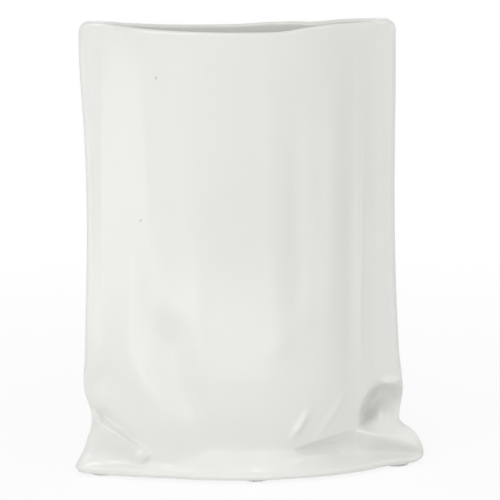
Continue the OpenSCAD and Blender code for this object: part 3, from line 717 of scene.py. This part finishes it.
# Pads: the same kinds of values as for the glaze
PAD_HAZE = (300.0, 2.0)
PAD_TONES = [(0.3, (0.62, 0.63, 0.64)), (0.7, (0.72, 0.73, 0.74))]
PAD_ROUGHNESS = [(0.3, grey(0.25)), (0.7, grey(0.35))]
PAD_IOR = 1.45
PAD_CLEARNESS = 0.5
PADS = ("pad_front", "pad_back", "pad_left", "pad_right")


def pad_material():
    """Clear soft pad with a faint haze."""
    material, tree, shader = new_material("clear_pad")
    haze = object_noise(tree, *PAD_HAZE)
    tree.links.new(ramp(tree, haze, PAD_TONES), shader.inputs["Base Color"])
    tree.links.new(ramp(tree, haze, PAD_ROUGHNESS), shader.inputs["Roughness"])
    shader.inputs["IOR"].default_value = PAD_IOR
    shader.inputs["Transmission Weight"].default_value = PAD_CLEARNESS
    return material


def dress_pads():
    clear = pad_material()
    for name in PADS:
        for slot in bpy.data.objects[name].material_slots:
            slot.material = clear


def seen_directly(tree):
    """1 for rays that show the background itself: camera, mirror and glass rays."""
    path = tree.nodes.new("ShaderNodeLightPath")
    rays = ("Is Camera Ray", "Is Glossy Ray", "Is Transmission Ray")
    return largest(tree, [path.outputs[name] for name in rays])


# Floor: its own light gives way to the shadow near the vase; sizes in metres
FLOOR_SIZE = 24.0
FLOOR_TONE = (0.94, 0.94, 0.94, 1)
FLOOR_ROUGHNESS = 0.9
FLOOR_SHADOW_SHARE = 0.12
FLOOR_SHADOW_NEAR = 0.2
FLOOR_SHADOW_FAR = 0.8


def floor_glow_share(tree):
    """How much of what is seen of the floor is its own light: less near the vase."""
    space = tree.nodes.new("ShaderNodeTexCoord")
    reach = tree.nodes.new("ShaderNodeVectorMath")
    reach.operation = "LENGTH"
    tree.links.new(space.outputs["Object"], reach.inputs[0])
    near = tree.nodes.new("ShaderNodeMapRange")
    near.inputs["From Min"].default_value = FLOOR_SHADOW_NEAR
    near.inputs["From Max"].default_value = FLOOR_SHADOW_FAR
    near.inputs["To Min"].default_value = 1 - FLOOR_SHADOW_SHARE
    near.inputs["To Max"].default_value = 1
    tree.links.new(reach.outputs["Value"], near.inputs["Value"])
    share = tree.nodes.new("ShaderNodeMath")
    share.operation = "MULTIPLY"
    tree.links.new(seen_directly(tree), share.inputs[0])
    tree.links.new(near.outputs[0], share.inputs[1])
    return share.outputs[0]


def make_floor():
    half = FLOOR_SIZE / 2
    corners = [(-half, -half, 0), (half, -half, 0), (half, half, 0), (-half, half, 0)]
    mesh = bpy.data.meshes.new("floor")
    mesh.from_pydata(corners, [], [(0, 1, 2, 3)])
    floor = bpy.data.objects.new("floor", mesh)
    bpy.context.scene.collection.objects.link(floor)
    material, tree, shader = new_material("pale_floor")
    shader.inputs["Base Color"].default_value = FLOOR_TONE
    shader.inputs["Roughness"].default_value = FLOOR_ROUGHNESS
    glow = tree.nodes.new("ShaderNodeEmission")
    surface = mixed_shader(tree, floor_glow_share(tree), shader.outputs[0], glow.outputs[0])
    tree.links.new(surface, tree.nodes["Material Output"].inputs["Surface"])
    mesh.materials.append(material)


# World: light from all sides, stronger from the front left, and white where it is seen itself
AMBIENT = 0.525
AMBIENT_FROM = (-0.3, -0.8, 0.5)
AMBIENT_TONES = [(0.1, grey(0.65)), (0.8, grey(1.0))]
WHITE = (1, 1, 1, 1)


def make_world():
    world = bpy.data.worlds.new("studio")
    bpy.context.scene.world = world
    world.use_nodes = True
    tree = world.node_tree
    ambient = tree.nodes["Background"]
    ambient.inputs["Strength"].default_value = AMBIENT
    space = tree.nodes.new("ShaderNodeTexCoord")
    toward = tree.nodes.new("ShaderNodeVectorMath")
    toward.operation = "DOT_PRODUCT"
    toward.inputs[1].default_value = AMBIENT_FROM
    tree.links.new(space.outputs["Generated"], toward.inputs[0])
    level = tree.nodes.new("ShaderNodeMapRange")
    level.inputs["From Min"].default_value = -1
    tree.links.new(toward.outputs["Value"], level.inputs["Value"])
    tree.links.new(ramp(tree, level.outputs[0], AMBIENT_TONES), ambient.inputs["Color"])
    white = tree.nodes.new("ShaderNodeBackground")
    white.inputs["Color"].default_value = WHITE
    surface = mixed_shader(tree, seen_directly(tree), ambient.outputs[0], white.outputs[0])
    tree.links.new(surface, tree.nodes["World Output"].inputs["Surface"])


# Lamps: name, then place, target and size in metres, then watts and shape
LAMPS = [
    ("left_strip", (-0.63, -0.14, 0.11), (0, 0, 0.11), (0.4, 0.2), 0.275, "RECTANGLE"),
    ("low_left_strip", (-0.3, -0.33, 0.035), (0, 0, 0.035), (0.35, 0.07), 0.09, "RECTANGLE"),
    ("low_strip", (0.04, -0.37, 0.035), (0.02, 0, 0.035), (0.3, 0.07), 0.055, "ELLIPSE"),
    ("right_strip", (0.72, 0.02, 0.34), (0, 0, 0.16), (0.5, 0.24), 0.43, "RECTANGLE"),
    ("dim_panel", (0.3, 0.17, 0.1), (0.09, 0, 0.1), (0.3, 0.2), 0.02, "RECTANGLE"),
    ("key_softbox", (-1.0, -1.1, 1.1), (0, 0, 0.05), (0.6, 0.6), 4.9, "RECTANGLE"),
    ("top_softbox", (-0.2, -0.6, 1.8), (0, -0.1, 0), (0.65, 0.65), 4.6, "RECTANGLE"),
    ("spark_softbox", (0.1, -1.1, 1.4), (0, 0, 0.1), (0.3, 0.25), 1.2, "RECTANGLE"),
    ("right_softbox", (1.05, -0.75, 0.9), (0.09, 0, 0.06), (0.25, 0.25), 0.9, "RECTANGLE"),
    ("front_softbox", (0.3, -2.2, 0.5), (0, 0, 0), (2.6, 0.6), 3, "RECTANGLE")]


def turned_to(target_m, place_m):
    """Rotation of a lamp or camera that looks from a place to a target."""
    return (Vector(target_m) - Vector(place_m)).to_track_quat("-Z", "Y").to_euler()


def area_light(name, place_m, target_m, size, watts, shape):
    light = bpy.data.lights.new(name, "AREA")
    light.shape = shape
    light.size, light.size_y = size
    light.energy = watts
    lamp = bpy.data.objects.new(name, light)
    lamp.location = place_m
    lamp.rotation_euler = turned_to(target_m, place_m)
    bpy.context.scene.collection.objects.link(lamp)


# Camera: where it stands and looks, in millimetres and degrees
CAMERA_AZIMUTH = -7.0
CAMERA_DISTANCE = 1440.0
CAMERA_HEIGHT = 368.4
AIM = (-0.6, 0.0, 133.5)
LENS = 177.08
SENSOR = 36.0


def make_camera():
    turn = math.radians(CAMERA_AZIMUTH)
    place_m = Vector((AIM[0] + CAMERA_DISTANCE * math.sin(turn),
                      AIM[1] - CAMERA_DISTANCE * math.cos(turn),
                      CAMERA_HEIGHT)) * MM
    data = bpy.data.cameras.new("camera")
    data.lens = LENS
    data.sensor_width = SENSOR
    camera = bpy.data.objects.new("camera", data)
    camera.location = place_m
    camera.rotation_euler = turned_to(Vector(AIM) * MM, place_m)
    bpy.context.scene.collection.objects.link(camera)
    bpy.context.scene.camera = camera


make_camera()
make_floor()
make_world()
for lamp in LAMPS:
    area_light(*lamp)

shell = bpy.data.objects.new("vase_shell", vase_mesh())
bpy.context.scene.collection.objects.link(shell)
shell.data.materials.append(glaze_material())
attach(shell, "root")
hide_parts("vase_body")
dress_pads()

bpy.context.scene.view_settings.view_transform = "Standard"
